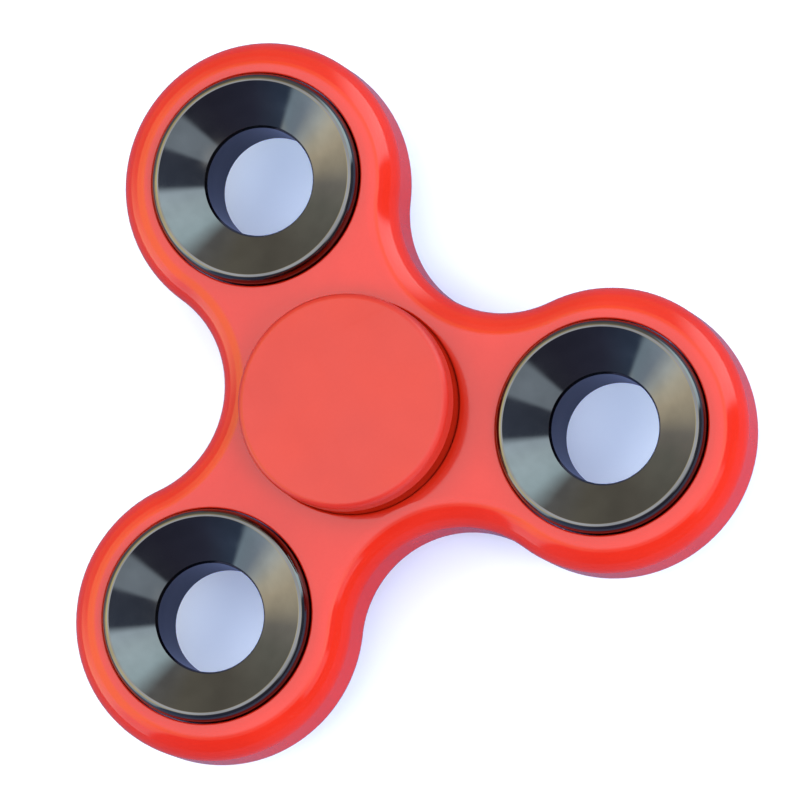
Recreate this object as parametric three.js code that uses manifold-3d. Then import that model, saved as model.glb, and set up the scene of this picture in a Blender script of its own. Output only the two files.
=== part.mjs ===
// A three-lobed fidget spinner: a one-piece moulded body, a dished counterweight ring pressed into
// each lobe, a 608-size ball bearing in the centre bore and a finger cap on each end of the bearing.
// Millimetres. +Z is the spin axis, the origin is the bearing's centre, and one lobe points along +Y.

import * as THREE from "three";
import { mergeVertices } from "three/addons/utils/BufferGeometryUtils.js";
import Module from "manifold-3d";

const wasm = await Module();
wasm.setup();

// ---- Driving dimensions ----

// Moulded body
const LOBES = 3;
const BODY_THICKNESS = 10;
const LOBE_CENTRE_RADIUS = 26.2; // spin axis to the axis of a lobe
const LOBE_RADIUS = 14.7;
const WAIST_RADIUS = 14.6; // spin axis to the nearest point of a concave side
const EDGE_ROUND = 3; // rounding of the outer edge, on both faces
const FIT_GAP = 0.1; // gap between a fitted piece and its hole
const BORE_LIP_RADIUS = 10.1; // inside of the lip that holds the bearing, one at each face
const BORE_LIP_TOP = 4.7; // height of the lip, a little below the body's face

// Counterweight ring, the same on both faces
const RING_RADIUS = 11;
const RING_CREST_RADIUS = 10.24;
const RING_CREST_WIDTH = 0.12; // flat of the crest
const RING_CREST_FALL = 0.03; // the crest slopes inwards by this much
const RING_PROUD = 1.33; // the crest stands this far above the body's face
const RING_HOLE_RADIUS = 5.63;
const RING_HOLE_EDGE = 3.5; // height of the foot of the cone
const RING_HOLE_CHAMFER = 0.22; // its width and its depth below the foot of the cone
const RING_HOLE_CHAMFER_RISE = 0.154; // and its height above it

// Bearing
const BEARING_RADIUS = 11;
const BEARING_HALF_WIDTH = 3.5;
const BEARING_BORE_RADIUS = 4;
const BEARING_CHAMFER = 0.35;
const BALLS = 7;
const BALL_RADIUS = 3.969 / 2;
const PITCH_RADIUS = 7.5;
const GROOVE_RADIUS = 2.1; // raceway section, 0.115 clear of the ball
const INNER_SHOULDER_RADIUS = 6.05;
const OUTER_SHOULDER_RADIUS = 9;

// Shield seat, shield and the open snap ring that keeps the shield in
const SEAT_RADIUS = 9.82;
const SEAT_LEDGE = 2.7;
const SEAT_MOUTH_RADIUS = 9.67; // the lip over the snap ring
const SEAT_MOUTH_DEPTH = 0.12;
const SEAT_MOUTH_SLOPE = 0.04;
const SHIELD_INNER_RADIUS = 6.25;
const SHIELD_OUTER_RADIUS = 9.7;
const SHIELD_BASE = 2.75;
const SHIELD_THICKNESS = 0.25;
const SNAP_INNER_RADIUS = 9.15;
const SNAP_BASE = 3.04;
const SNAP_THICKNESS = 0.28;
const SNAP_GAP = THREE.MathUtils.degToRad(12);

// Pressed-steel cage: a ribbon that arches over each ball, in two riveted halves
const CAGE_INNER_RADIUS = 6.75;
const CAGE_OUTER_RADIUS = 8.25;
const CAGE_SPLIT = 0.03; // each half starts this far from the mid-plane
const CAGE_THICKNESS = 0.35;
const POCKET_RADIUS = 2.12; // inside of an arch
const RIVET_RADIUS = 0.28;
const RIVET_HOLE_RADIUS = 0.38;
const RIVET_HEAD_RADIUS = 0.52;
const RIVET_HEAD_TOP_RADIUS = 0.364;
const RIVET_HEAD_HEIGHT = 0.2;
const RIVET_HEAD_GAP = 0.03;

// Finger cap: a round flat disc on a collar that stands on the inner race, with a stub in its bore
const CAP_RADIUS = 11.1;
const CAP_UNDERSIDE = 7;
const CAP_TOP = 9.8;
const CAP_EDGE_ROUND = 0.7;
const CAP_LOWER_CHAMFER = 0.3;
const CAP_SKIRT_RADIUS = 9.9; // inside of the skirt
const CAP_CORE_DEPTH = 1; // hollow between the skirt and the collar
const COLLAR_RADIUS = 5.6;
const COLLAR_GAP = 0.05; // above the inner race
const STUB_RADIUS = 3.88;
const STUB_END = 0.3;
const STUB_CHAMFER = 0.4;

// Facets
const ROUND_SEGMENTS = 36;
const BALL_SEGMENTS = 12;
const BALL_RINGS = 6;
const CAGE_SEGMENTS = 4 * BALLS;
const POCKET_DIVISIONS = 4; // half the points of each arch
const RIVET_SEGMENTS = 8;
const CUT_OVERRUN = 1; // a cutting solid reaches this far past what it cuts
const PROFILE_ARC_STEPS = 3;
const OUTER_RACEWAY_STEPS = 6;
const INNER_RACEWAY_STEPS = 4;
const MERGE_DISTANCE = 1e-4;
const ARC_DIVISIONS = 10; // half the points of each arc of the body's outline
const EDGE_ROUND_SEGMENTS = 3;

const HALF_THICKNESS = BODY_THICKNESS / 2;
const FULL_TURN = 2 * Math.PI;

// ---- Materials ----

const material = (color, roughness, metalness) =>
  new THREE.MeshStandardMaterial({ color, roughness, metalness });

const finish = {
  body: () => material(0xea3a22, 0.18, 0),
  cap: () => material(0xe6493a, 0.42, 0),
  weight: () => material(0x3a3c44, 0.16, 1),
  race: () => material(0xb9bcc2, 0.2, 1),
  ball: () => material(0xd2d4d8, 0.08, 1),
  cage: () => material(0xa79f8c, 0.38, 1),
  shield: () => material(0xa9acb1, 0.3, 1),
};

// ---- Helpers ----

// Points of a circular or elliptical arc in the (radius, height) plane of a turned profile.
function arc(centreR, centreZ, radiusR, radiusZ, from, to, steps = PROFILE_ARC_STEPS) {
  return Array.from({ length: steps + 1 }, (_, i) => {
    const angle = THREE.MathUtils.degToRad(from + ((to - from) * i) / steps);
    return [centreR + radiusR * Math.cos(angle), centreZ + radiusZ * Math.sin(angle)];
  });
}

// The same points mirrored to the other face, in the opposite order.
const mirrored = (points) => points.map(([r, z]) => [r, -z]).reverse();

// A body turned about +Z. The profile runs up its outer side and down its inner side.
function turned(profile, segments = ROUND_SEGMENTS) {
  const points = profile.map(([r, z]) => new THREE.Vector2(r, z));
  return new THREE.LatheGeometry(points, segments).rotateX(Math.PI / 2);
}

// A turned ring: its profile closes on itself.
const turnedRing = (profile, segments) => turned([...profile, profile[0]], segments);

// A ring of rectangular section.
const washer = (inner, outer, base, top, segments) =>
  turnedRing([[outer, base], [outer, top], [inner, top], [inner, base]], segments);

const rod = (radius, base, top, segments) =>
  turned([[0, base], [radius, base], [radius, top], [0, top]], segments);

// A ball with its poles on Z.
const ballOf = (radius) =>
  new THREE.SphereGeometry(radius, BALL_SEGMENTS, BALL_RINGS).rotateX(Math.PI / 2);

function solidOf(geometry) {
  const plain = geometry.clone();
  plain.deleteAttribute("normal");
  plain.deleteAttribute("uv");
  const merged = mergeVertices(plain, MERGE_DISTANCE);
  return new wasm.Manifold(
    new wasm.Mesh({
      numProp: 3,
      vertProperties: merged.attributes.position.array,
      triVerts: new Uint32Array(merged.index.array),
    }),
  );
}

function geometryOf(solid) {
  const mesh = solid.getMesh();
  const geometry = new THREE.BufferGeometry();
  geometry.setAttribute("position", new THREE.BufferAttribute(mesh.vertProperties, 3));
  geometry.setIndex(new THREE.BufferAttribute(mesh.triVerts, 1));
  geometry.computeVertexNormals();
  return geometry;
}

function named(name, geometry, surface) {
  const mesh = new THREE.Mesh(geometry, surface);
  mesh.name = name;
  return mesh;
}

// A mesh turned over about X, for the lower one of two alike pieces.
function turnedOver(mesh) {
  mesh.rotation.x = Math.PI;
  return mesh;
}

const around = (radius, angle) => [radius * Math.cos(angle), radius * Math.sin(angle)];
const lobeAngle = (i) => Math.PI / 2 + (FULL_TURN * i) / LOBES;
const ballAngle = (i) => (FULL_TURN * i) / BALLS;

// ---- Moulded body ----

// Lobe arcs joined by concave arcs that are tangent to both neighbours. The concave radius
// follows from the waist: both circles touch where their centres are the sum of radii apart.
function bodyOutline() {
  const d = LOBE_CENTRE_RADIUS;
  const w = WAIST_RADIUS;
  const hollow = (LOBE_RADIUS ** 2 - d ** 2 - w ** 2 + d * w) / (2 * w - d - 2 * LOBE_RADIUS);
  const hollowCentreRadius = w + hollow;
  const step = Math.PI / LOBES;
  const [acrossX, acrossY] = around(hollowCentreRadius, step);
  const spread = Math.atan2(acrossY, acrossX - d);

  const outline = new THREE.Shape();
  for (let i = 0; i < LOBES; i++) {
    const angle = lobeAngle(i);
    const [lobeX, lobeY] = around(d, angle);
    outline.absarc(lobeX, lobeY, LOBE_RADIUS, angle - spread, angle + spread, false);
    const [hollowX, hollowY] = around(hollowCentreRadius, angle + step);
    const from = angle + spread + Math.PI;
    const to = angle + 2 * step - spread + Math.PI;
    outline.absarc(hollowX, hollowY, hollow, from, to, true);
  }
  return outline;
}

// What is taken out at the centre: the bearing's seat, narrowed by a lip at each end.
function centreBore() {
  const radius = BEARING_RADIUS + FIT_GAP;
  const upper = [
    [radius, BEARING_HALF_WIDTH + FIT_GAP],
    [BORE_LIP_RADIUS, BEARING_HALF_WIDTH + FIT_GAP],
    [BORE_LIP_RADIUS, BORE_LIP_TOP],
    [radius, BORE_LIP_TOP],
    [radius, HALF_THICKNESS + CUT_OVERRUN],
    [0, HALF_THICKNESS + CUT_OVERRUN],
  ];
  return turned([...mirrored(upper), ...upper]);
}

function bodyGeometry() {
  const flat = BODY_THICKNESS - 2 * EDGE_ROUND;
  const blank = new THREE.ExtrudeGeometry(bodyOutline(), {
    depth: flat,
    curveSegments: ARC_DIVISIONS,
    bevelSize: EDGE_ROUND,
    bevelOffset: -EDGE_ROUND,
    bevelThickness: EDGE_ROUND,
    bevelSegments: EDGE_ROUND_SEGMENTS,
  }).translate(0, 0, -flat / 2);
  let solid = solidOf(blank).subtract(solidOf(centreBore()));
  const reach = HALF_THICKNESS + CUT_OVERRUN;
  for (let i = 0; i < LOBES; i++) {
    const [x, y] = around(LOBE_CENTRE_RADIUS, lobeAngle(i));
    const hole = rod(RING_RADIUS + FIT_GAP, -reach, reach).translate(x, y, 0);
    solid = solid.subtract(solidOf(hole));
  }
  return geometryOf(solid);
}

// ---- Counterweight ring ----

function weightGeometry() {
  const crest = HALF_THICKNESS + RING_PROUD;
  const shoulderWidth = RING_RADIUS - RING_CREST_RADIUS;
  const upper = [
    ...arc(RING_CREST_RADIUS, HALF_THICKNESS, shoulderWidth, RING_PROUD, 0, 90),
    [RING_CREST_RADIUS - RING_CREST_WIDTH, crest - RING_CREST_FALL],
    [RING_HOLE_RADIUS + RING_HOLE_CHAMFER, RING_HOLE_EDGE + RING_HOLE_CHAMFER_RISE],
    [RING_HOLE_RADIUS, RING_HOLE_EDGE - RING_HOLE_CHAMFER],
  ];
  return turnedRing([...mirrored(upper), ...upper]);
}

// ---- Bearing ----

// Half the angle that the raceway spans, seen from its centre, for a given shoulder radius.
const grooveAngle = (shoulder) =>
  THREE.MathUtils.radToDeg(Math.acos(Math.abs(shoulder - PITCH_RADIUS) / GROOVE_RADIUS));

const racewayArc = (from, to, steps) =>
  arc(PITCH_RADIUS, 0, GROOVE_RADIUS, GROOVE_RADIUS, from, to, steps);

function outerRaceGeometry() {
  const mouthFoot = BEARING_HALF_WIDTH - SEAT_MOUTH_DEPTH;
  const upper = [
    [BEARING_RADIUS, BEARING_HALF_WIDTH - BEARING_CHAMFER],
    [BEARING_RADIUS - BEARING_CHAMFER, BEARING_HALF_WIDTH],
    [SEAT_MOUTH_RADIUS, BEARING_HALF_WIDTH],
    [SEAT_MOUTH_RADIUS, mouthFoot],
    [SEAT_RADIUS, mouthFoot - SEAT_MOUTH_SLOPE],
    [SEAT_RADIUS, SEAT_LEDGE],
    [OUTER_SHOULDER_RADIUS, SEAT_LEDGE],
  ];
  const half = grooveAngle(OUTER_SHOULDER_RADIUS);
  const raceway = racewayArc(half, -half, OUTER_RACEWAY_STEPS);
  return turnedRing([...upper, ...raceway, ...mirrored(upper)]);
}

function innerRaceGeometry() {
  const half = grooveAngle(INNER_SHOULDER_RADIUS);
  const raceway = racewayArc(180 + half, 180 - half, INNER_RACEWAY_STEPS);
  const upper = [
    [INNER_SHOULDER_RADIUS, BEARING_HALF_WIDTH - BEARING_CHAMFER / 2],
    [INNER_SHOULDER_RADIUS - BEARING_CHAMFER / 2, BEARING_HALF_WIDTH],
    [BEARING_BORE_RADIUS + BEARING_CHAMFER, BEARING_HALF_WIDTH],
    [BEARING_BORE_RADIUS, BEARING_HALF_WIDTH - BEARING_CHAMFER],
  ];
  return turnedRing([...raceway, ...upper, ...mirrored(upper)]);
}

// A half-round bar across the ribbon at one ball, which bends round the ball's radial axis.
function pocketBar(radius, inner, outer, angle) {
  const section = new THREE.Shape();
  section.absarc(0, 0, radius, 0, Math.PI, false);
  return new THREE.ExtrudeGeometry(section, {
    depth: outer - inner,
    curveSegments: POCKET_DIVISIONS,
    bevelEnabled: false,
  })
    .translate(0, 0, inner)
    .rotateX(Math.PI / 2)
    .rotateZ(Math.PI / 2)
    .translate(0, 0, CAGE_SPLIT)
    .rotateZ(angle);
}

// Upper half of the cage: flats between the balls, joined by arches over them.
function cageHalfGeometry() {
  const flatTop = CAGE_SPLIT + CAGE_THICKNESS;
  const band = washer(CAGE_INNER_RADIUS, CAGE_OUTER_RADIUS, CAGE_SPLIT, flatTop, CAGE_SEGMENTS);
  const archRadius = POCKET_RADIUS + CAGE_THICKNESS;
  let half = solidOf(band);
  for (let i = 0; i < BALLS; i++) {
    const arch = pocketBar(archRadius, CAGE_INNER_RADIUS, CAGE_OUTER_RADIUS, ballAngle(i));
    half = half.add(solidOf(arch));
  }
  const insideCut = CAGE_INNER_RADIUS - CUT_OVERRUN;
  const outsideCut = CAGE_OUTER_RADIUS + CUT_OVERRUN;
  for (let i = 0; i < BALLS; i++) {
    const pocket = pocketBar(POCKET_RADIUS, insideCut, outsideCut, ballAngle(i));
    const [x, y] = around(PITCH_RADIUS, ballAngle(i + 0.5));
    const hole = rod(RIVET_HOLE_RADIUS, -CUT_OVERRUN, CUT_OVERRUN, RIVET_SEGMENTS);
    half = half.subtract(solidOf(pocket)).subtract(solidOf(hole.translate(x, y, 0)));
  }
  return geometryOf(half);
}

function rivetGeometry() {
  const headBase = CAGE_SPLIT + CAGE_THICKNESS + RIVET_HEAD_GAP;
  const upper = [
    [RIVET_RADIUS, headBase],
    [RIVET_HEAD_RADIUS, headBase],
    [RIVET_HEAD_TOP_RADIUS, headBase + RIVET_HEAD_HEIGHT],
    [0, headBase + RIVET_HEAD_HEIGHT],
  ];
  return turned([...mirrored(upper), ...upper], RIVET_SEGMENTS);
}

const shieldGeometry = () =>
  washer(SHIELD_INNER_RADIUS, SHIELD_OUTER_RADIUS, SHIELD_BASE, SHIELD_BASE + SHIELD_THICKNESS);

// An open ring, with its gap on the +X side.
function snapRingGeometry() {
  const outerRadius = SHIELD_OUTER_RADIUS;
  const from = SNAP_GAP / 2;
  const to = FULL_TURN - SNAP_GAP / 2;
  const outline = new THREE.Shape();
  outline.absarc(0, 0, outerRadius, from, to, false);
  outline.absarc(0, 0, SNAP_INNER_RADIUS, to, from, true);
  return new THREE.ExtrudeGeometry(outline, {
    depth: SNAP_THICKNESS,
    curveSegments: ROUND_SEGMENTS / 2,
    bevelEnabled: false,
  }).translate(0, 0, SNAP_BASE);
}

// ---- Finger cap ----

function capGeometry() {
  const edgeCentreR = CAP_RADIUS - CAP_EDGE_ROUND;
  const edgeCentreZ = CAP_TOP - CAP_EDGE_ROUND;
  const collarFoot = BEARING_HALF_WIDTH + COLLAR_GAP;
  const coreTop = CAP_UNDERSIDE + CAP_CORE_DEPTH;
  return turned([
    [0, STUB_END],
    [STUB_RADIUS - STUB_CHAMFER, STUB_END],
    [STUB_RADIUS, STUB_END + STUB_CHAMFER],
    [STUB_RADIUS, collarFoot],
    [COLLAR_RADIUS, collarFoot],
    [COLLAR_RADIUS, coreTop],
    [CAP_SKIRT_RADIUS, coreTop],
    [CAP_SKIRT_RADIUS, CAP_UNDERSIDE],
    [CAP_RADIUS - CAP_LOWER_CHAMFER, CAP_UNDERSIDE],
    [CAP_RADIUS, CAP_UNDERSIDE + CAP_LOWER_CHAMFER],
    ...arc(edgeCentreR, edgeCentreZ, CAP_EDGE_ROUND, CAP_EDGE_ROUND, 0, 90),
    [0, CAP_TOP],
  ]);
}

// ---- Assembly ----

const spinner = new THREE.Group();

const rotor = new THREE.Group();
rotor.add(named("spinner_body", bodyGeometry(), finish.body()));
for (let i = 0; i < LOBES; i++) {
  const weight = named(`counterweight_ring_${i + 1}`, weightGeometry(), finish.weight());
  const [x, y] = around(LOBE_CENTRE_RADIUS, lobeAngle(i));
  weight.position.set(x, y, 0);
  rotor.add(weight);
}
rotor.add(named("bearing_outer_race", outerRaceGeometry(), finish.race()));
rotor.add(named("bearing_shield_top", shieldGeometry(), finish.shield()));
rotor.add(turnedOver(named("bearing_shield_bottom", shieldGeometry(), finish.shield())));
rotor.add(named("shield_snap_ring_top", snapRingGeometry(), finish.shield()));
rotor.add(turnedOver(named("shield_snap_ring_bottom", snapRingGeometry(), finish.shield())));
spinner.add(rotor);

const ballTrain = new THREE.Group();
ballTrain.add(named("cage_half_top", cageHalfGeometry(), finish.cage()));
ballTrain.add(turnedOver(named("cage_half_bottom", cageHalfGeometry(), finish.cage())));
for (let i = 0; i < BALLS; i++) {
  const ball = named(`bearing_ball_${i + 1}`, ballOf(BALL_RADIUS), finish.ball());
  const [ballX, ballY] = around(PITCH_RADIUS, ballAngle(i));
  ball.position.set(ballX, ballY, 0);
  const rivet = named(`cage_rivet_${i + 1}`, rivetGeometry(), finish.cage());
  const [rivetX, rivetY] = around(PITCH_RADIUS, ballAngle(i + 0.5));
  rivet.position.set(rivetX, rivetY, 0);
  ballTrain.add(ball, rivet);
}
spinner.add(ballTrain);

const grip = new THREE.Group();
grip.add(named("bearing_inner_race", innerRaceGeometry(), finish.race()));
grip.add(named("finger_cap_top", capGeometry(), finish.cap()));
grip.add(turnedOver(named("finger_cap_bottom", capGeometry(), finish.cap())));
spinner.add(grip);

export default spinner;
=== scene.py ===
import math

import bpy
from mathutils import Matrix, Vector
from mathutils.geometry import tessellate_polygon


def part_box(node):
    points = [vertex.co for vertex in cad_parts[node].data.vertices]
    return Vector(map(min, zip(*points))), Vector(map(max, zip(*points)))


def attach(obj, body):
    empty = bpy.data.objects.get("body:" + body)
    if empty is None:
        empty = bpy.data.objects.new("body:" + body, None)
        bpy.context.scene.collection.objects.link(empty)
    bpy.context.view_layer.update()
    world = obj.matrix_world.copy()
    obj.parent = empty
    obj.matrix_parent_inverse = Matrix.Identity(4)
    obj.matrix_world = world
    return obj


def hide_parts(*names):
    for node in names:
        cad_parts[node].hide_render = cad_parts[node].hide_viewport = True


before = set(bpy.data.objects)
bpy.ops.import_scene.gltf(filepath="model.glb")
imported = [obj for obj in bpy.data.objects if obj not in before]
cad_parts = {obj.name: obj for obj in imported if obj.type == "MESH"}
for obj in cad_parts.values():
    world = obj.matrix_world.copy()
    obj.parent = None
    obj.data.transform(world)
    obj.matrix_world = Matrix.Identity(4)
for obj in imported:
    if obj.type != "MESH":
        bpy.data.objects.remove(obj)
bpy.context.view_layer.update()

MM = 0.001

# ---- Sizes: the outer ones come from the frame, the inner ones are the CAD's ----

BODY_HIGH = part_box("spinner_body")[1]
HALF_THICKNESS = BODY_HIGH.z
LOBES = 3
RING_NODES = [f"counterweight_ring_{i + 1}" for i in range(LOBES)]
RING_BOXES = [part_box(node) for node in RING_NODES]
LOBE_CENTRES = [(low + high) / 2 for low, high in RING_BOXES]
LOBE_CENTRE_RADIUS = LOBE_CENTRES[0].length
LOBE_RADIUS = BODY_HIGH.y - LOBE_CENTRE_RADIUS
WAIST_RADIUS = 14.6 * MM
EDGE_ROUND = 3 * MM
HOLE_EDGE_ROUND = 0.22 * MM
FIT_GAP = 0.1 * MM
BORE_LIP_RADIUS = 10.1 * MM
BORE_LIP_TOP = 4.7 * MM

RING_RADIUS = (RING_BOXES[0][1].x - RING_BOXES[0][0].x) / 2
RING_CREST = RING_BOXES[0][1].z
RING_CREST_RADIUS = 10.24 * MM
RING_HOLE_RADIUS = 5.63 * MM
RING_HOLE_EDGE = 3.5 * MM
RING_CREST_WIDTH = 0.13 * MM
RING_CREST_ROUND = 0.18 * MM
RING_FOOT_WIDTH = 0.2 * MM
RING_FOOT_RISE = 0.236 * MM
RING_FOOT_DROP = 0.2 * MM
RING_FOOT_ROUND = 0.12 * MM
CONE_HOLLOW = 0.053 * MM  # how far the cone lies below the straight one of the CAD

CAP_LOW, CAP_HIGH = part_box("finger_cap_top")
CAP_RADIUS = CAP_HIGH.x
CAP_TOP = CAP_HIGH.z
STUB_END = CAP_LOW.z
CAP_UNDERSIDE = 7 * MM
CAP_EDGE_ROUND = 0.7 * MM
CAP_SKIRT_RADIUS = 9.9 * MM
CAP_CORE_DEPTH = 1 * MM
COLLAR_RADIUS = 5.6 * MM
COLLAR_FOOT = 3.55 * MM
STUB_RADIUS = 3.88 * MM

BALLS = 7
BEARING_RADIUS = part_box("bearing_outer_race")[1].x
BEARING_HALF_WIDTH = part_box("bearing_outer_race")[1].z
BEARING_BORE_RADIUS = 4 * MM
BEARING_EDGE_ROUND = 0.35 * MM
BALL_RADIUS = 3.969 / 2 * MM
PITCH_RADIUS = 7.5 * MM
GROOVE_RADIUS = 2.1 * MM
INNER_SHOULDER_RADIUS = 6.05 * MM
OUTER_SHOULDER_RADIUS = 9 * MM
SEAT_RADIUS = 9.82 * MM
SEAT_LEDGE = 2.7 * MM
SEAT_LIP = 0.15 * MM  # the lip over the snap ring reaches this far in
SEAT_LIP_DEPTH = 0.1 * MM
SEAT_LIP_SLOPE = 0.06 * MM
SHIELD_INNER_RADIUS = 6.25 * MM
SHIELD_OUTER_RADIUS = 9.7 * MM
SHIELD_BASE = 2.75 * MM
SHIELD_THICKNESS = 0.25 * MM
SHIELD_STEP_OUTER, SHIELD_STEP_INNER = 8.9 * MM, 8.6 * MM
SHIELD_STEP_DEPTH = 0.06 * MM
SNAP_INNER_RADIUS = 9.15 * MM
SNAP_BASE = 3.04 * MM
SNAP_THICKNESS = 0.28 * MM
SNAP_GAP = math.radians(12)
SNAP_SQUARENESS = 0.5  # power of the superellipse: 1 is an ellipse, 0 a rectangle
CAGE_INNER_RADIUS = 6.75 * MM
CAGE_OUTER_RADIUS = 8.25 * MM
CAGE_SPLIT = 0.03 * MM
CAGE_THICKNESS = 0.35 * MM
POCKET_RADIUS = 2.12 * MM
ARCH_FOOT_ANGLE = 0.145  # radians; about where an arch's outer face meets the flat stretches
CAGE_EDGE_ROUND = 0.05 * MM
RIVET_HEAD_BASE = 0.41 * MM
RIVET_HEAD_HEIGHT = 0.2 * MM
RIVET_HEAD_RADIUS = 0.52 * MM
RIVET_HEAD_TOP_RADIUS = 0.39 * MM
RIVET_RADIUS = 0.28 * MM

FLOOR_GAP = 0.02 * MM  # below the lower cap, so that the two faces never share a plane
FLOOR_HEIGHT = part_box("finger_cap_bottom")[0].z - FLOOR_GAP

FINE = 192  # facets round a large turned piece
ARC_STEPS = 6  # facets round a small edge
LOBE_STEPS, HOLLOW_STEPS = 72, 36  # facets along each arc of the body's outline
EDGE_STEPS = 18
SHOULDER_STEPS = 10
CONE_STEPS = 8
RACEWAY_STEPS = 14
SNAP_STEPS, SNAP_SECTION_STEPS = 150, 20
BALL_CUTS = 10  # squares along each edge of the cube that a ball is made from
ARCH_STEPS = 24
RIVET_SEGMENTS = 32
TOUCHING = 1e-8
ON_AXIS = 1e-7
SHARP = 0.9  # cosine of the turn past which two points in one place are both kept
CURVE_REACH = 0.49  # share of a side that each of its two roundings takes up


# ---- Camera ----

CAMERA_PLACE = Vector((0.1649, -0.2113, 0.8933))
CAMERA_AIM = Vector((0.0038, -0.0003, 0))
CAMERA_UP = Vector((0.42707, 0.89421, 0.13418))
SENSOR_WIDTH, LENS = 36, 408.1  # millimetres
CLIP_START, CLIP_END = 0.05, 20


def make_camera():
    data = bpy.data.cameras.new("camera")
    data.sensor_width = SENSOR_WIDTH
    data.lens = LENS
    camera = bpy.data.objects.new("camera", data)
    bpy.context.scene.collection.objects.link(camera)
    back = (CAMERA_PLACE - CAMERA_AIM).normalized()
    right = CAMERA_UP.cross(back).normalized()
    up = back.cross(right)
    turn = Matrix((right, up, back)).transposed().to_4x4()
    camera.matrix_world = Matrix.Translation(CAMERA_PLACE) @ turn
    data.clip_start = CLIP_START
    data.clip_end = CLIP_END
    bpy.context.scene.camera = camera


# ---- Mesh tools ----


def piece(name, points, normals, faces, place=(0, 0, 0)):
    """A smooth mesh object with its own shading normals, at place in the row frame."""
    mesh = bpy.data.meshes.new(name)
    mesh.from_pydata(points, [], faces)
    mesh.polygons.foreach_set("use_smooth", [True] * len(mesh.polygons))
    mesh.normals_split_custom_set_from_vertices(normals)
    mesh.update()
    made = bpy.data.objects.new(name, mesh)
    made.location = place
    bpy.context.scene.collection.objects.link(made)
    return made


def rounded(corners, closed):
    """A profile in the (radius, height) plane with its corners rounded.

    corners are (radius, height, rounding). The profile runs up its outer side, so outside is on
    its right. The result is (radius, height, outward normal) at each point.
    """
    spots = [Vector((r, z)) for r, z, _ in corners]
    count = len(spots)
    made = []
    for i, (r, z, rounding) in enumerate(corners):
        here = spots[i]
        before = spots[i - 1] if closed or i > 0 else None
        after = spots[(i + 1) % count] if closed or i < count - 1 else None
        arriving = (here - before).normalized() if before is not None else None
        leaving = (after - here).normalized() if after is not None else None
        if arriving is None or leaving is None:
            along = leaving or arriving
            made.append((here, Vector((along.y, -along.x))))
            continue
        first = Vector((arriving.y, -arriving.x))
        last = Vector((leaving.y, -leaving.x))
        turn = math.atan2(first.x * last.y - first.y * last.x, first.dot(last))
        start = here - arriving * abs(rounding * math.tan(turn / 2))
        side = 1 if turn > 0 else -1
        centre = start - first * rounding * side
        for step in range(ARC_STEPS + 1):
            angle = turn * step / ARC_STEPS
            cos, sin = math.cos(angle), math.sin(angle)
            normal = Vector((first.x * cos - first.y * sin, first.x * sin + first.y * cos))
            made.append((centre + normal * rounding * side, normal))
    kept = [made[0]]
    for spot, normal in made[1:]:
        if (spot - kept[-1][0]).length > TOUCHING or normal.dot(kept[-1][1]) < SHARP:
            kept.append((spot, normal))
    return [(spot.x, spot.y, normal) for spot, normal in kept]


def turned(name, corners, closed=True, segments=FINE, place=(0, 0, 0), flip=False):
    """A piece turned about its own Z axis from a rounded profile. flip turns it over about X."""
    profile = rounded(corners, closed)
    points, normals, rows = [], [], []
    side = -1 if flip else 1
    for r, z, normal in profile:
        on_axis = r < ON_AXIS
        row = []
        for k in range(1 if on_axis else segments):
            angle = 2 * math.pi * k / segments * side
            cos, sin = math.cos(angle), math.sin(angle)
            row.append(len(points))
            points.append((r * cos, r * sin, z * side))
            flat = 0 if on_axis else normal.x
            normals.append((flat * cos, flat * sin, normal.y * side))
        rows.append(row)
    faces = []
    pairs = list(zip(rows, rows[1:])) + ([(rows[-1], rows[0])] if closed else [])
    for low, high in pairs:
        for k in range(segments):
            a, b = low[k % len(low)], low[(k + 1) % len(low)]
            c, d = high[(k + 1) % len(high)], high[k % len(high)]
            face = list(dict.fromkeys((a, b, c, d)))
            if len(face) > 2:
                faces.append(face)
    return piece(name, points, normals, faces, place)


def curve(points):
    """Corners that follow a curve: each is rounded nearly as far as the middles of its two sides."""
    spots = [Vector(point) for point in points]
    corners = [(*points[0], 0)]
    for before, here, after in zip(spots, spots[1:], spots[2:]):
        turn = (here - before).angle(after - here)
        reach = CURVE_REACH * min((here - before).length, (after - here).length)
        corners.append((here.x, here.y, reach / math.tan(turn / 2)))
    return corners + [(*points[-1], 0)]


def mirrored(corners):
    return [(r, -z, rounding) for r, z, rounding in reversed(corners)]


# ---- Materials ----


def add(tree, kind, settings=None, **values):
    """A new node, with its settings and the values of its inputs. An underscore stands for a space."""
    made = tree.nodes.new(kind)
    for key, value in (settings or {}).items():
        setattr(made, key, value)
    for key, value in values.items():
        made.inputs[key.replace("_", " ")].default_value = value
    return made


def new_material(name, **values):
    """A material and its Principled shader, with constant values on the shader's own sockets."""
    material = bpy.data.materials.new(name)
    material.use_nodes = True
    tree = material.node_tree
    tree.nodes.clear()
    shader = add(tree, "ShaderNodeBsdfPrincipled", **values)
    output = add(tree, "ShaderNodeOutputMaterial")
    tree.links.new(shader.outputs["BSDF"], output.inputs["Surface"])
    return material, tree, shader


def stretched(tree, scale):
    """Object coordinates scaled by a vector."""
    coordinates = add(tree, "ShaderNodeTexCoord")
    mapping = add(tree, "ShaderNodeMapping", Scale=scale)
    tree.links.new(coordinates.outputs["Object"], mapping.inputs["Vector"])
    return mapping.outputs["Vector"]


def noise(tree, size, detail=2.0, vector=None):
    """A noise pattern whose features are about size metres across."""
    made = add(tree, "ShaderNodeTexNoise", Scale=1 / size, Detail=detail)
    tree.links.new(vector or stretched(tree, (1, 1, 1)), made.inputs["Vector"])
    return made.outputs["Fac"]


def remap(tree, value, low, high, to_low, to_high):
    made = add(tree, "ShaderNodeMapRange")
    tree.links.new(value, made.inputs["Value"])
    for key, number in zip(("From Min", "From Max", "To Min", "To Max"), (low, high, to_low, to_high)):
        made.inputs[key].default_value = number
    return made.outputs["Result"]


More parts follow.
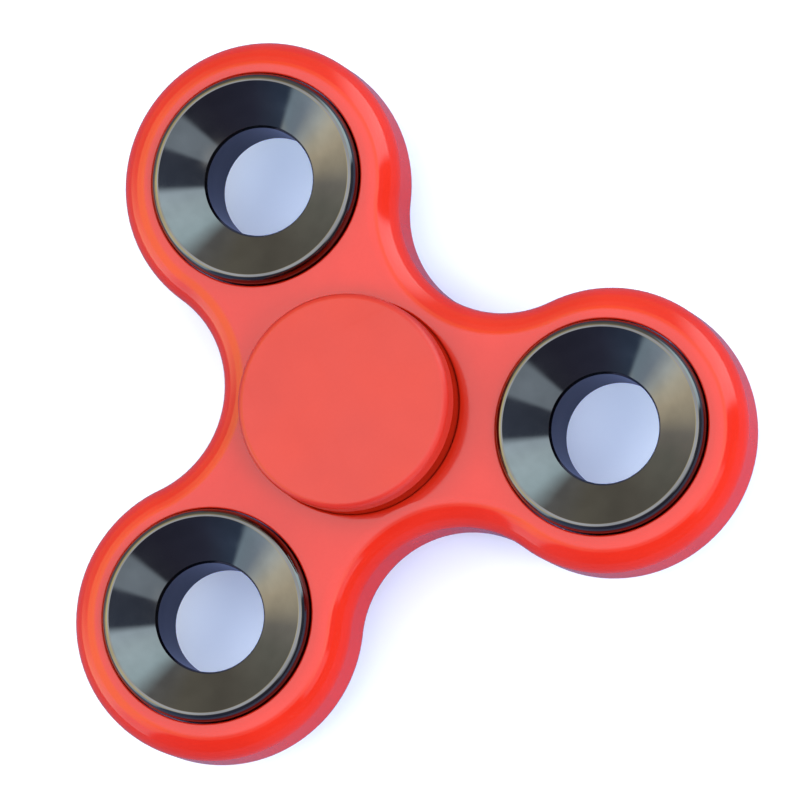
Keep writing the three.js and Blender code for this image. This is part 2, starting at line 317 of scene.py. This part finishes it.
def maths(tree, operation, first, second):
    made = add(tree, "ShaderNodeMath", {"operation": operation})
    for socket, value in zip(made.inputs, (first, second)):
        if isinstance(value, (int, float)):
            socket.default_value = value
        else:
            tree.links.new(value, socket)
    return made.outputs["Value"]


def blend_colours(tree, factor, first, second):
    made = add(tree, "ShaderNodeMix", {"data_type": "RGBA"})
    tree.links.new(factor, made.inputs[0])
    for socket, value in ((made.inputs[6], first), (made.inputs[7], second)):
        if isinstance(value, tuple):
            socket.default_value = (*value, 1)
        else:
            tree.links.new(value, socket)
    return made.outputs[2]


def bump(tree, height, distance, strength, under=None):
    made = add(tree, "ShaderNodeBump", Strength=strength, Distance=distance)
    tree.links.new(height, made.inputs["Height"])
    if under is not None:
        tree.links.new(under, made.inputs["Normal"])
    return made.outputs["Normal"]


def plastic(name, deep, light, smooth, rough, grain, grain_depth):
    """Moulded plastic: soft flow marks in its colour, a fine skin and faint handling scratches."""
    material, tree, shader = new_material(name, IOR=1.5)
    flow = noise(tree, 9 * MM, 3.0)
    fine = noise(tree, 0.35 * MM, 2.0)
    clouds = maths(tree, "ADD", maths(tree, "MULTIPLY", flow, 0.8), maths(tree, "MULTIPLY", fine, 0.2))
    colour = blend_colours(tree, remap(tree, clouds, 0.3, 0.7, 0, 1), deep, light)
    tree.links.new(colour, shader.inputs["Base Color"])

    scratches = None
    for scale in ((60, 1.5, 20), (2, 70, 25)):
        lines = noise(tree, 20 * MM, 2.0, stretched(tree, scale))
        thin = remap(tree, lines, 0.66, 0.72, 0, 1)
        scratches = thin if scratches is None else maths(tree, "MAXIMUM", scratches, thin)
    worn = remap(tree, noise(tree, 14 * MM, 4.0), 0.35, 0.7, smooth, rough)
    roughness = maths(tree, "ADD", worn, maths(tree, "MULTIPLY", scratches, 0.06))
    tree.links.new(roughness, shader.inputs["Roughness"])

    skin = bump(tree, noise(tree, grain, 2.0), grain_depth, 0.5)
    scored = bump(tree, maths(tree, "MULTIPLY", scratches, -1.0), 0.002 * MM, 0.35, skin)
    tree.links.new(scored, shader.inputs["Normal"])
    return material


def turned_metal(name, dark, light, smooth, rough, pitch, depth):
    """Metal with fine circular tool marks about the piece's own axis and slightly uneven plating."""
    material, tree, shader = new_material(name, Metallic=1.0)
    cloud = noise(tree, 5 * MM, 3.0)
    colour = blend_colours(tree, remap(tree, cloud, 0.35, 0.65, 0, 1), dark, light)
    tree.links.new(colour, shader.inputs["Base Color"])
    marks = add(
        tree,
        "ShaderNodeTexWave",
        {"wave_type": "RINGS", "rings_direction": "Z", "wave_profile": "SIN"},
        Scale=math.pi / (10 * pitch),
        Distortion=1.5,
        Detail=2.0,
        Detail_Scale=1.5,
    )
    tree.links.new(stretched(tree, (1, 1, 1)), marks.inputs["Vector"])
    roughness = maths(
        tree,
        "ADD",
        remap(tree, noise(tree, 2.5 * MM, 4.0), 0.35, 0.7, smooth, rough),
        maths(tree, "MULTIPLY", marks.outputs["Fac"], 0.02),
    )
    tree.links.new(roughness, shader.inputs["Roughness"])
    tree.links.new(bump(tree, marks.outputs["Fac"], depth, 0.4), shader.inputs["Normal"])
    return material


BODY_PLASTIC = plastic(
    "body_plastic", (0.395, 0.011, 0.003), (0.445, 0.016, 0.006), 0.07, 0.13, 0.9 * MM, 0.002 * MM
)
CAP_PLASTIC = plastic(
    "cap_plastic", (0.345, 0.011, 0.006), (0.390, 0.016, 0.008), 0.34, 0.44, 0.22 * MM, 0.008 * MM
)
WEIGHT_METAL = turned_metal(
    "weight_metal", (0.105, 0.104, 0.105), (0.135, 0.134, 0.135), 0.05, 0.10, 0.11 * MM, 0.0004 * MM
)
RACE_STEEL = turned_metal(
    "bearing_steel", (0.50, 0.51, 0.53), (0.60, 0.61, 0.63), 0.16, 0.26, 0.08 * MM, 0.001 * MM
)
BALL_STEEL = turned_metal(
    "ball_steel", (0.62, 0.63, 0.65), (0.68, 0.69, 0.71), 0.05, 0.08, 0.4 * MM, 0.0001 * MM
)
CAGE_STEEL = turned_metal(
    "cage_steel", (0.38, 0.36, 0.32), (0.46, 0.44, 0.40), 0.30, 0.42, 0.3 * MM, 0.002 * MM
)
SHIELD_STEEL = turned_metal(
    "shield_steel", (0.45, 0.46, 0.47), (0.54, 0.55, 0.57), 0.22, 0.32, 0.2 * MM, 0.002 * MM
)


def settle(made, material, slot, body, *nodes):
    """Gives a finished piece its material and body, and hides the CAD nodes that it stands for. slot is
    not used.
    """
    made.data.materials.append(material)
    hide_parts(*nodes)
    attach(made, body)


# ---- Moulded body ----


def body_loop(inset):
    """The body's outline moved in by inset, as (x, y, outward normal) round all lobes and hollows."""
    d, w, lobe = LOBE_CENTRE_RADIUS, WAIST_RADIUS, LOBE_RADIUS
    hollow = (lobe**2 - d**2 - w**2 + d * w) / (2 * w - d - 2 * lobe)
    step = math.pi / LOBES
    across = Vector((math.cos(step), math.sin(step))) * (w + hollow)
    spread = math.atan2(across.y, across.x - d)
    loop = []
    for i in range(LOBES):
        facing = math.pi / 2 + 2 * step * i
        centre = Vector((math.cos(facing), math.sin(facing))) * d
        for k in range(LOBE_STEPS + 1):
            angle = facing - spread + 2 * spread * k / LOBE_STEPS
            normal = Vector((math.cos(angle), math.sin(angle)))
            loop.append((centre + normal * (lobe - inset), normal))
        centre = Vector((math.cos(facing + step), math.sin(facing + step))) * (w + hollow)
        start = facing + spread + math.pi
        sweep = 2 * step - 2 * spread
        for k in range(1, HOLLOW_STEPS):
            angle = start + sweep * k / HOLLOW_STEPS
            normal = -Vector((math.cos(angle), math.sin(angle)))
            loop.append((centre - normal * (hollow + inset), normal))
    return loop


def make_body():
    points, normals, faces = [], [], []

    def put(x, y, z, normal):
        points.append((x, y, z))
        normals.append(normal)
        return len(points) - 1

    def skin(rows):
        for low, high in zip(rows, rows[1:]):
            for k in range(len(low)):
                j = (k + 1) % len(low)
                faces.append((low[k], low[j], high[j], high[k]))

    # outer wall: the edge rounding on both faces, with a straight band between
    edge = []
    for k in range(EDGE_STEPS + 1):
        angle = math.radians(90) * k / EDGE_STEPS
        inset = EDGE_ROUND * (1 - math.cos(angle))
        edge.append((inset, HALF_THICKNESS - EDGE_ROUND * (1 - math.sin(angle)), angle))
    profile = [(inset, -z, -angle) for inset, z, angle in reversed(edge)] + edge
    outer = []
    for inset, z, angle in profile:
        cos, sin = math.cos(angle), math.sin(angle)
        outer.append([put(*spot, z, (n.x * cos, n.y * cos, sin)) for spot, n in body_loop(inset)])
    skin(outer)

    # holes, from the upper face down; the centre one has a lip at each end of the bearing
    def straight(radius):
        return [
            (radius + HOLE_EDGE_ROUND, HALF_THICKNESS, 0),
            (radius, HALF_THICKNESS, HOLE_EDGE_ROUND),
        ]

    bore_radius = BEARING_RADIUS + FIT_GAP
    bearing_end = BEARING_HALF_WIDTH + FIT_GAP
    bore = straight(bore_radius) + [
        (bore_radius, BORE_LIP_TOP, 0.2 * MM),
        (BORE_LIP_RADIUS, BORE_LIP_TOP, 0.15 * MM),
        (BORE_LIP_RADIUS, bearing_end, 0.1 * MM),
        (bore_radius, bearing_end, 0.1 * MM),
    ]
    lobe_hole = straight(RING_RADIUS + FIT_GAP)
    holes = [(Vector((0, 0)), bore)] + [(centre.xy, lobe_hole) for centre in LOBE_CENTRES]
    rims = []
    for centre, upper in holes:
        rows = []
        for r, z, normal in rounded(upper + mirrored(upper), closed=False):
            row = []
            for j in range(FINE):
                turn = 2 * math.pi * j / FINE
                x, y = math.cos(turn), math.sin(turn)
                outward = (x * normal.x, y * normal.x, normal.y)
                row.append(put(centre.x + r * x, centre.y + r * y, z, outward))
            rows.append(row)
        skin(rows)
        rims.append((rows[0], rows[-1]))

    # flat faces between the outer edge and the holes
    for face, border, which in ((1, outer[-1], 0), (-1, outer[0], 1)):
        loops = [border] + [rim[which] for rim in rims]
        order = [index for loop in loops for index in loop]
        outlines = [[Vector(points[index][:2]).to_3d() for index in loop] for loop in loops]
        for triangle in tessellate_polygon(outlines):
            a, b, c = (order[k] for k in triangle)
            (ax, ay, _), (bx, by, _), (cx, cy, _) = points[a], points[b], points[c]
            anticlockwise = (bx - ax) * (cy - ay) - (by - ay) * (cx - ax) > 0
            faces.append((a, b, c) if anticlockwise == (face > 0) else (a, c, b))

    made = piece("spinner_body_moulding", points, normals, faces)
    settle(made, BODY_PLASTIC, "body_plastic", "rotor", "spinner_body")


# ---- Counterweight rings ----


def make_rings():
    """Rings with an elliptical shoulder and a dished cone that is hollowed a very little."""
    shoulder = []
    for k in range(SHOULDER_STEPS + 1):
        angle = math.radians(90) * k / SHOULDER_STEPS
        across = (RING_RADIUS - RING_CREST_RADIUS) * math.cos(angle)
        up = (RING_CREST - HALF_THICKNESS) * math.sin(angle)
        shoulder.append((RING_CREST_RADIUS + across, HALF_THICKNESS + up))
    top = Vector((RING_CREST_RADIUS - RING_CREST_WIDTH, RING_CREST))
    foot = Vector((RING_HOLE_RADIUS + RING_FOOT_WIDTH, RING_HOLE_EDGE + RING_FOOT_RISE))
    cone = []
    for k in range(CONE_STEPS + 1):
        share = k / CONE_STEPS
        spot = top.lerp(foot, share)
        cone.append((spot.x, spot.y - 4 * CONE_HOLLOW * share * (1 - share)))
    dish = curve(cone)
    dish[0] = (*cone[0], RING_CREST_ROUND)
    dish[-1] = (*cone[-1], RING_FOOT_ROUND)
    hole_edge = (RING_HOLE_RADIUS, RING_HOLE_EDGE - RING_FOOT_DROP, RING_FOOT_ROUND)
    upper = curve(shoulder) + dish + [hole_edge]
    for i, centre in enumerate(LOBE_CENTRES):
        made = turned(f"weight_ring_{i + 1}", mirrored(upper) + upper, place=(centre.x, centre.y, 0))
        settle(made, WEIGHT_METAL, "weight_metal", "rotor", RING_NODES[i])


# ---- Finger caps ----


def make_caps():
    core_top = CAP_UNDERSIDE + CAP_CORE_DEPTH
    corners = [
        (0, STUB_END, 0),
        (STUB_RADIUS, STUB_END, 0.4 * MM),
        (STUB_RADIUS, COLLAR_FOOT, 0.05 * MM),
        (COLLAR_RADIUS, COLLAR_FOOT, 0.15 * MM),
        (COLLAR_RADIUS, core_top, 0.25 * MM),
        (CAP_SKIRT_RADIUS, core_top, 0.25 * MM),
        (CAP_SKIRT_RADIUS, CAP_UNDERSIDE, 0.12 * MM),
        (CAP_RADIUS, CAP_UNDERSIDE, 0.3 * MM),
        (CAP_RADIUS, CAP_TOP, CAP_EDGE_ROUND),
        (0, CAP_TOP, 0),
    ]
    for side in ("top", "bottom"):
        made = turned(f"cap_{side}", corners, closed=False, flip=side == "bottom")
        settle(made, CAP_PLASTIC, "cap_plastic", "grip", f"finger_cap_{side}")


# ---- Bearing ----


def raceway(start, stop):
    """The groove that the balls run in, as an arc about the pitch circle."""
    points = []
    for k in range(RACEWAY_STEPS + 1):
        angle = start + (stop - start) * k / RACEWAY_STEPS
        points.append((PITCH_RADIUS + GROOVE_RADIUS * math.cos(angle), GROOVE_RADIUS * math.sin(angle)))
    return curve(points)


def make_races():
    half = math.acos((OUTER_SHOULDER_RADIUS - PITCH_RADIUS) / GROOVE_RADIUS)
    lip_end = BEARING_HALF_WIDTH - SEAT_LIP_DEPTH
    upper = [
        (BEARING_RADIUS, BEARING_HALF_WIDTH, BEARING_EDGE_ROUND),
        (SEAT_RADIUS - SEAT_LIP, BEARING_HALF_WIDTH, 0.04 * MM),
        (SEAT_RADIUS - SEAT_LIP, lip_end, 0.02 * MM),
        (SEAT_RADIUS, lip_end - SEAT_LIP_SLOPE, 0.02 * MM),
        (SEAT_RADIUS, SEAT_LEDGE, 0.05 * MM),
        (OUTER_SHOULDER_RADIUS, SEAT_LEDGE, 0.08 * MM),
    ]
    corners = upper + raceway(half, -half) + mirrored(upper)
    outer = turned("outer_race", corners)
    settle(outer, RACE_STEEL, "bearing_steel", "rotor", "bearing_outer_race")

    half = math.acos((PITCH_RADIUS - INNER_SHOULDER_RADIUS) / GROOVE_RADIUS)
    upper = [
        (INNER_SHOULDER_RADIUS, BEARING_HALF_WIDTH, 0.18 * MM),
        (BEARING_BORE_RADIUS, BEARING_HALF_WIDTH, BEARING_EDGE_ROUND),
    ]
    corners = raceway(math.pi + half, math.pi - half) + upper + mirrored(upper)
    inner = turned("inner_race", corners)
    settle(inner, RACE_STEEL, "bearing_steel", "grip", "bearing_inner_race")


def make_shields():
    top = SHIELD_BASE + SHIELD_THICKNESS
    corners = [
        (SHIELD_OUTER_RADIUS, SHIELD_BASE, 0.05 * MM),
        (SHIELD_OUTER_RADIUS, top, 0.08 * MM),
        (SHIELD_STEP_OUTER, top, 0.1 * MM),
        (SHIELD_STEP_INNER, top - SHIELD_STEP_DEPTH, 0.1 * MM),
        (SHIELD_INNER_RADIUS, top - SHIELD_STEP_DEPTH, 0.08 * MM),
        (SHIELD_INNER_RADIUS, SHIELD_BASE, 0.05 * MM),
    ]
    for side in ("top", "bottom"):
        made = turned(f"shield_{side}", corners, flip=side == "bottom")
        settle(made, SHIELD_STEEL, "shield_steel", "rotor", f"bearing_shield_{side}")


def signed_power(value, power):
    return math.copysign(abs(value) ** power, value)


def make_snap_rings():
    """Rings with a rounded rectangular section, open over a short gap on the +X side."""
    middle = (SNAP_INNER_RADIUS + SHIELD_OUTER_RADIUS) / 2
    half_width = (SHIELD_OUTER_RADIUS - SNAP_INNER_RADIUS) / 2
    half_height = SNAP_THICKNESS / 2
    count = SNAP_SECTION_STEPS
    for side, face in (("top", 1), ("bottom", -1)):
        points, normals, faces = [], [], []
        for k in range(SNAP_STEPS + 1):
            turn = SNAP_GAP / 2 + (2 * math.pi - SNAP_GAP) * k / SNAP_STEPS
            for j in range(count):
                angle = 2 * math.pi * j / count * face
                cos, sin = math.cos(angle), math.sin(angle)
                r = middle + half_width * signed_power(cos, SNAP_SQUARENESS)
                up = half_height * signed_power(sin, SNAP_SQUARENESS)
                z = face * (SNAP_BASE + half_height) + up
                points.append((r * math.cos(turn), r * math.sin(turn), z))
                power = 2 - SNAP_SQUARENESS
                flat = Vector((signed_power(cos, power), signed_power(sin, power))).normalized()
                normals.append((flat.x * math.cos(turn), flat.x * math.sin(turn), flat.y))
        for k in range(SNAP_STEPS):
            for j in range(count):
                a, b = k * count + j, k * count + (j + 1) % count
                quad = (a, a + count, b + count, b)
                faces.append(quad if face < 0 else tuple(reversed(quad)))
        start = list(range(count))
        end = list(range(SNAP_STEPS * count, (SNAP_STEPS + 1) * count))
        faces.append(start if face < 0 else start[::-1])
        faces.append(end[::-1] if face < 0 else end)
        made = piece(f"snap_ring_{side}", points, normals, faces)
        settle(made, SHIELD_STEEL, "shield_steel", "rotor", f"shield_snap_ring_{side}")


def ball_place(i):
    angle = 2 * math.pi * i / BALLS
    return PITCH_RADIUS * math.cos(angle), PITCH_RADIUS * math.sin(angle), 0


def make_balls():
    """Balls as cubes pushed out to a sphere, so that no facet shrinks to a pole."""

    def across(step):
        return math.tan(math.radians(45) * (2 * step / BALL_CUTS - 1))

    for i in range(BALLS):
        found = {}
        points, faces = [], []

        def spot(vector):
            key = tuple(round(x, 6) for x in vector)
            if key not in found:
                found[key] = len(points)
                points.append(tuple(Vector(vector).normalized() * BALL_RADIUS))
            return found[key]

        for axis in range(3):
            for sign in (-1, 1):
                for u in range(BALL_CUTS):
                    for v in range(BALL_CUTS):
                        quad = []
                        for du, dv in ((0, 0), (1, 0), (1, 1), (0, 1)):
                            vector = [0, 0, 0]
                            vector[axis] = sign
                            vector[(axis + 1) % 3] = across(u + du)
                            vector[(axis + 2) % 3] = across(v + dv)
                            quad.append(spot(vector))
                        faces.append(quad if sign > 0 else quad[::-1])
        normals = [tuple(Vector(p).normalized()) for p in points]
        made = piece(f"ball_{i + 1}", points, normals, faces, ball_place(i))
        settle(made, BALL_STEEL, "ball_steel", f"ball_{i + 1}", f"bearing_ball_{i + 1}")


def make_cage():
    """Each half is a ribbon that arches over every ball and lies flat between them."""
    arch_radius = POCKET_RADIUS + CAGE_THICKNESS
    pocket = 2 * math.pi / BALLS
    section = []
    for k in range(ARCH_STEPS + 1):
        angle = math.pi * k / ARCH_STEPS
        low = (POCKET_RADIUS * math.cos(angle), CAGE_SPLIT + POCKET_RADIUS * math.sin(angle))
        rise = min(max(angle, ARCH_FOOT_ANGLE), math.pi - ARCH_FOOT_ANGLE)
        high = (arch_radius * math.cos(rise), CAGE_SPLIT + arch_radius * math.sin(rise))
        section.append((low, high))
    for side, face in (("top", 1), ("bottom", -1)):
        points, faces, rows = [], [], []
        for i in range(BALLS):
            for (low_s, low_z), (high_s, high_z) in section:
                row = []
                for r, s, z in (
                    (CAGE_INNER_RADIUS, low_s, low_z),
                    (CAGE_OUTER_RADIUS, low_s, low_z),
                    (CAGE_OUTER_RADIUS, high_s, high_z),
                    (CAGE_INNER_RADIUS, high_s, high_z),
                ):
                    angle = pocket * i - s / PITCH_RADIUS
                    row.append(len(points))
                    points.append((r * math.cos(angle), r * math.sin(angle), z * face))
                rows.append(row)
        for a, b in zip(rows, rows[1:] + rows[:1]):
            for k in range(4):
                j = (k + 1) % 4
                quad = (a[k], a[j], b[j], b[k])
                faces.append(quad if face < 0 else quad[::-1])
        mesh = bpy.data.meshes.new(f"cage_{side}")
        mesh.from_pydata(points, [], faces)
        mesh.update()
        made = bpy.data.objects.new(f"cage_{side}", mesh)
        bpy.context.scene.collection.objects.link(made)
        edge = made.modifiers.new("edge", "BEVEL")
        edge.width = CAGE_EDGE_ROUND
        edge.segments = 2
        edge.limit_method = "ANGLE"
        settle(made, CAGE_STEEL, "cage_steel", "cage", f"cage_half_{side}")


def make_rivets():
    head_top = RIVET_HEAD_BASE + RIVET_HEAD_HEIGHT
    upper = [
        (RIVET_RADIUS, RIVET_HEAD_BASE, 0.03 * MM),
        (RIVET_HEAD_RADIUS, RIVET_HEAD_BASE, 0.05 * MM),
        (RIVET_HEAD_TOP_RADIUS, head_top, 0.1 * MM),
        (0, head_top, 0),
    ]
    corners = mirrored(upper) + upper
    for i in range(BALLS):
        place = ball_place(i + 0.5)
        made = turned(f"rivet_{i + 1}", corners, closed=False, segments=RIVET_SEGMENTS, place=place)
        settle(made, CAGE_STEEL, "cage_steel", "cage", f"cage_rivet_{i + 1}")


# ---- Floor and light ----

FLOOR_HALF = 4
FLOOR_PAINT = (0.72, 0.82, 0.99)
FLOOR_PAINT_LIGHT = (0.75, 0.84, 1.00)
FLOOR_GLOW = (0.25, 0.40, 1.00, 1)
FLOOR_GLOW_STRENGTH = 0.2
# Painted shade in reflections: polished pieces see the floor this dark, as if it lay in shadow.
FLOOR_REFLECTED_SHADE = (0.08, 0.08, 0.12)  # what polished pieces see of the floor

def make_floor():
    signs = ((-1, -1), (1, -1), (1, 1), (-1, 1))
    corners = [(x * FLOOR_HALF, y * FLOOR_HALF, FLOOR_HEIGHT) for x, y in signs]
    mesh = bpy.data.meshes.new("floor")
    mesh.from_pydata(corners, [], [(0, 1, 2, 3)])
    floor = bpy.data.objects.new("floor", mesh)
    bpy.context.scene.collection.objects.link(floor)
    material, tree, shader = new_material(
        "floor_board",
        Roughness=0.6,
        Emission_Color=FLOOR_GLOW,
        Emission_Strength=FLOOR_GLOW_STRENGTH,
    )
    cloud = remap(tree, noise(tree, 60 * MM, 3.0), 0.3, 0.7, 0, 1)
    paint = blend_colours(tree, cloud, FLOOR_PAINT, FLOOR_PAINT_LIGHT)
    # Glossy rays get the painted-shade colour, so the floor's reflections show painted shade instead of
    # its paint.
    glossy = add(tree, "ShaderNodeLightPath").outputs["Is Glossy Ray"]
    tree.links.new(blend_colours(tree, glossy, paint, FLOOR_REFLECTED_SHADE), shader.inputs["Base Color"])
    mesh.materials.append(material)


# The room, in bands of elevation. Each entry starts with a direction in degrees from +X and ends
# with a colour. The walls have windows between dark openings, and the polished rings show them.
WALLS = (
    (-180, 2.40, 2.60, 2.50),
    (-171, 1.30, 1.60, 1.90),
    (-160, 1.20, 1.60, 1.90),
    (-157, 0.20, 0.30, 0.50),
    (-130, 0.14, 0.16, 0.28),
    (-80, 0.13, 0.12, 0.18),
    (-37, 0.14, 0.13, 0.17),
    (-7, 0.18, 0.20, 0.28),
    (-1, 2.20, 2.70, 3.00),
    (12, 2.60, 3.30, 3.50),
    (36, 2.00, 2.60, 2.75),
    (50, 0.62, 0.62, 0.60),
    (70, 0.60, 0.56, 0.44),
    (100, 0.56, 0.52, 0.42),
    (130, 0.72, 0.72, 0.60),
    (143, 1.00, 0.95, 0.82),
    (152, 1.90, 1.70, 1.25),
    (162, 2.80, 2.45, 1.75),
    (171, 3.00, 2.80, 2.15),
    (180, 2.40, 2.60, 2.50),
)
# The same walls higher up, with a window on the camera's side.
UPPER_WALLS = (
    (-180, 3.20, 2.70, 1.40),
    (-171, 2.60, 2.40, 1.70),
    (-160, 1.60, 1.70, 1.60),
    (-157, 0.20, 0.28, 0.45),
    (-130, 0.13, 0.14, 0.24),
    (-94, 0.11, 0.11, 0.18),
    (-72, 0.13, 0.14, 0.20),
    (-67, 1.00, 1.20, 1.38),
    (-41, 1.00, 1.20, 1.38),
    (-37, 0.20, 0.24, 0.34),
    (-7, 0.20, 0.25, 0.36),
    (-1, 2.20, 2.70, 3.00),
    (12, 2.40, 3.00, 3.20),
    (36, 2.00, 2.60, 2.75),
    (51, 0.60, 0.62, 0.62),
    (100, 1.00, 0.90, 0.60),
    (125, 2.40, 2.00, 1.00),
    (150, 3.20, 2.70, 1.30),
    (180, 3.20, 2.70, 1.40),
)
# The ceiling's border, warm where the walls below it are, and dim over the darkest of them.
BORDER = (
    (-180, 3.20, 2.70, 1.40),
    (-160, 1.60, 1.40, 1.00),
    (-135, 0.70, 0.70, 0.70),
    (-90, 0.90, 0.90, 0.90),
    (-60, 2.00, 2.00, 1.90),
    (-40, 2.60, 2.60, 2.50),
    (-10, 2.40, 2.20, 1.70),
    (35, 2.40, 2.10, 1.60),
    (65, 2.00, 1.50, 0.90),
    (90, 1.60, 1.20, 0.50),
    (110, 2.20, 1.90, 1.00),
    (140, 3.50, 3.00, 1.40),
    (180, 3.20, 2.70, 1.40),
)
CEILING = (2.35, 2.45, 2.60)
UPPER_FROM, UPPER_FULL = 0.50, 0.56  # sines of elevation
BORDER_FROM, BORDER_FULL = 0.75, 0.79
CEILING_FROM, CEILING_FULL = 0.85, 0.92
SHOWN = (0.93, 0.94, 0.96)  # what the camera sees past the floor's edge


def round_about(tree, share, stops):
    """Colours by direction. share goes from 0 to 1 as the direction goes from -180 to 180 degrees."""
    ramp = add(tree, "ShaderNodeValToRGB")
    tree.links.new(share, ramp.inputs["Fac"])
    elements = ramp.color_ramp.elements
    while len(elements) < len(stops):
        elements.new(0.5)
    for element, (angle, red, green, blue) in zip(elements, stops):
        element.position = (angle + 180) / 360
        element.color = (red, green, blue, 1)
    return ramp.outputs["Color"]


def make_room():
    world = bpy.data.worlds.new("room")
    bpy.context.scene.world = world
    world.use_nodes = True
    tree = world.node_tree
    tree.nodes.clear()
    coordinates = add(tree, "ShaderNodeTexCoord")
    split = add(tree, "ShaderNodeSeparateXYZ")
    tree.links.new(coordinates.outputs["Generated"], split.inputs["Vector"])
    height = split.outputs["Z"]
    turn = maths(tree, "ARCTAN2", split.outputs["Y"], split.outputs["X"])
    share = remap(tree, turn, -math.pi, math.pi, 0, 1)
    sky = round_about(tree, share, WALLS)
    upper_walls = round_about(tree, share, UPPER_WALLS)
    border = round_about(tree, share, BORDER)
    sky = blend_colours(tree, remap(tree, height, UPPER_FROM, UPPER_FULL, 0, 1), sky, upper_walls)
    sky = blend_colours(tree, remap(tree, height, BORDER_FROM, BORDER_FULL, 0, 1), sky, border)
    sky = blend_colours(tree, remap(tree, height, CEILING_FROM, CEILING_FULL, 0, 1), sky, CEILING)
    seen = add(tree, "ShaderNodeLightPath").outputs["Is Camera Ray"]
    shown = blend_colours(tree, seen, sky, SHOWN)
    background = add(tree, "ShaderNodeBackground")
    tree.links.new(shown, background.inputs["Color"])
    output = add(tree, "ShaderNodeOutputWorld")
    tree.links.new(background.outputs["Background"], output.inputs["Surface"])


# Name, direction and elevation in degrees, width, height and radiance.
LIGHTS = (
    ("fill", -62, 14, 1.2, 0.35, 5.2),
    ("side", 14, 17, 0.6, 0.35, 2.4),
    ("front", -52, 48, 0.3, 0.3, 8.0),
    ("key", 111, 62, 0.3, 0.3, 3.0),
)
LIGHT_DISTANCE = 0.8


def soft_light(name, direction, elevation, width, height, brightness):
    """A rectangular light that faces the object. brightness is its radiance."""
    turn, rise = math.radians(direction), math.radians(elevation)
    outward = Vector((math.cos(turn) * math.cos(rise), math.sin(turn) * math.cos(rise), math.sin(rise)))
    data = bpy.data.lights.new(name, "AREA")
    data.shape = "RECTANGLE"
    data.size, data.size_y = width, height
    data.energy = brightness * math.pi * width * height
    light = bpy.data.objects.new(name, data)
    light.location = outward * LIGHT_DISTANCE
    light.rotation_mode = "QUATERNION"
    light.rotation_quaternion = outward.to_track_quat("Z", "Y")
    light.visible_camera = False
    light.visible_glossy = False
    bpy.context.scene.collection.objects.link(light)


make_camera()
make_body()
make_rings()
make_caps()
make_races()
make_shields()
make_snap_rings()
make_balls()
make_cage()
make_rivets()
make_floor()
make_room()
for light in LIGHTS:
    soft_light(*light)
bpy.context.scene.view_settings.view_transform = "Standard"
